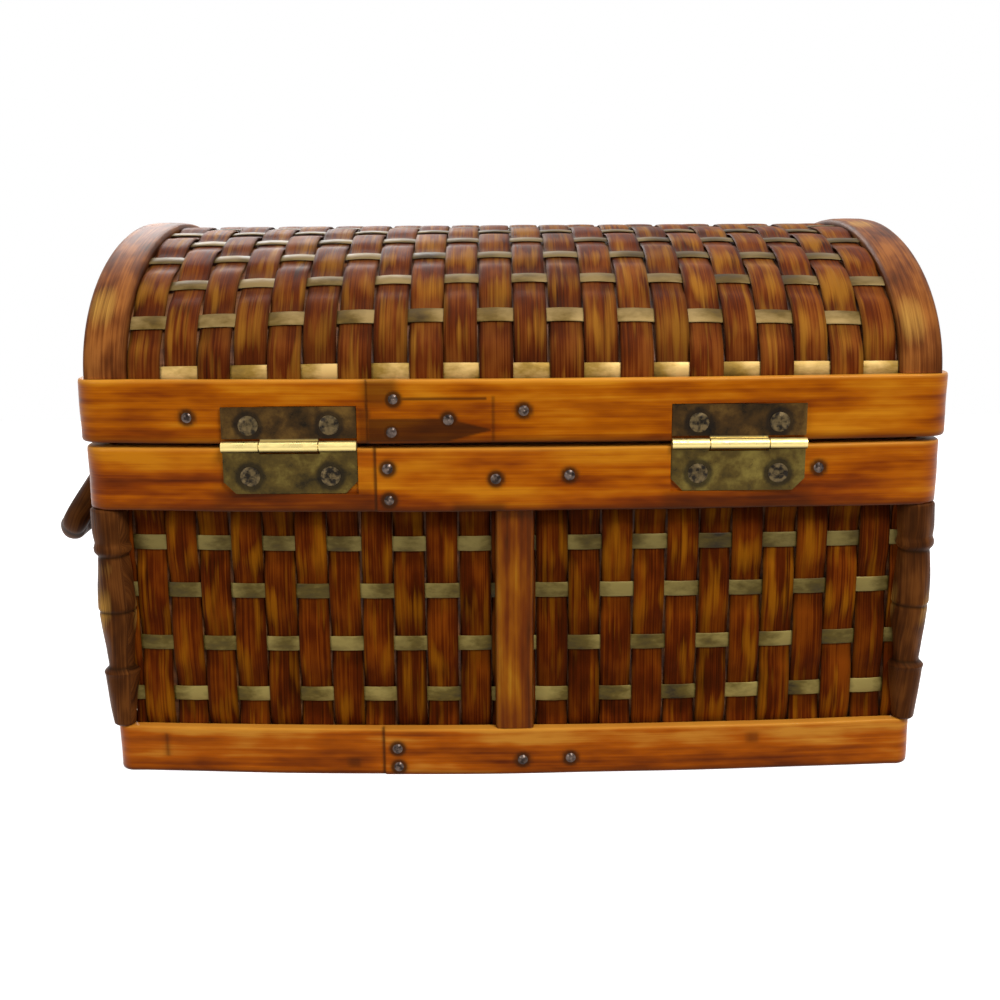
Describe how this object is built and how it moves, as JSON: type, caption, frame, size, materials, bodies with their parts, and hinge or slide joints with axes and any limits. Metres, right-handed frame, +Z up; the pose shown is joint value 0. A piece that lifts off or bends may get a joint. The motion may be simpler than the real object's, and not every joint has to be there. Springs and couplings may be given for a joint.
{
  "type": "woven bamboo chest",
  "caption": "Dome-topped keepsake chest of woven bamboo with bent bamboo bands, a lid on brass butt hinges and swinging bamboo root side handles.",
  "frame": {"origin": "on the floor, under the middle of the chest", "axes": "+Z up, the front faces -Y, the hinges are at +Y, the width lies along X"},
  "size_m": [0.2806, 0.1954, 0.1628],
  "materials": {
    "aged_brass": "aged brass",
    "bamboo_bands": "lacquered bent bamboo, amber",
    "bamboo_hoops": "lacquered bent bamboo, brown",
    "bamboo_root": "lacquered bamboo root",
    "iron_nails": "small darkened nail heads",
    "lining_boards": "plain thin board",
    "woven_slats": "lacquered split bamboo",
    "woven_strips": "thin brass-coloured strip, dull"
  },
  "bodies": {
    "body": {"back_liner": "lining_boards", "back_slats": "woven_slats", "back_strips": "woven_strips", "base_band": "bamboo_bands", "base_board": "lining_boards", "base_nails": "iron_nails", "body_hinge_screws": "aged_brass", "body_leaf_left": "aged_brass", "body_leaf_right": "aged_brass", "body_rim_band": "bamboo_bands", "body_rim_nails": "iron_nails", "centre_batten": "bamboo_hoops", "front_liner": "lining_boards", "front_slats": "woven_slats", "front_strips": "woven_strips", "handle_lugs_left": "bamboo_root", "handle_lugs_right": "bamboo_root", "handle_pins_left": "aged_brass", "handle_pins_right": "aged_brass", "hinge_pin_left": "aged_brass", "hinge_pin_right": "aged_brass", "inner_rim": "lining_boards", "left_liner": "lining_boards", "left_slats": "woven_slats", "left_strips": "woven_strips", "post_back_left": "bamboo_root", "post_back_right": "bamboo_root", "post_front_left": "bamboo_root", "post_front_right": "bamboo_root", "right_liner": "lining_boards", "right_slats": "woven_slats", "right_strips": "woven_strips"},
    "lid": {"dome_liner": "lining_boards", "dome_slats": "woven_slats", "dome_strips": "woven_strips", "end_board_left": "lining_boards", "end_board_right": "lining_boards", "end_slats_left": "woven_slats", "end_slats_right": "woven_slats", "end_strips_left": "woven_strips", "end_strips_right": "woven_strips", "hoop_left": "bamboo_hoops", "hoop_right": "bamboo_hoops", "lid_hinge_screws": "aged_brass", "lid_inner_rim": "lining_boards", "lid_leaf_left": "aged_brass", "lid_leaf_right": "aged_brass", "lid_nails": "iron_nails", "lid_rim_band": "bamboo_bands", "lift_knob": "bamboo_root"},
    "left_bail": {"handle_left": "bamboo_root"},
    "right_bail": {"handle_right": "bamboo_root"}
  },
  "joints": [
    {"name": "lid_hinge", "type": "hinge", "parent": "body", "child": "lid", "pos_m": [0, 0.09225, 0.1011], "axis": [-1, 0, 0], "range_deg": [0, 100]},
    {"name": "left_handle_swing", "type": "hinge", "parent": "body", "child": "left_bail", "pos_m": [-0.1284, 0, 0.088], "axis": [0, 1, 0], "range_deg": [0, 110]},
    {"name": "right_handle_swing", "type": "hinge", "parent": "body", "child": "right_bail", "pos_m": [0.1284, 0, 0.088], "axis": [0, -1, 0], "range_deg": [-34, 76]}
  ]
}
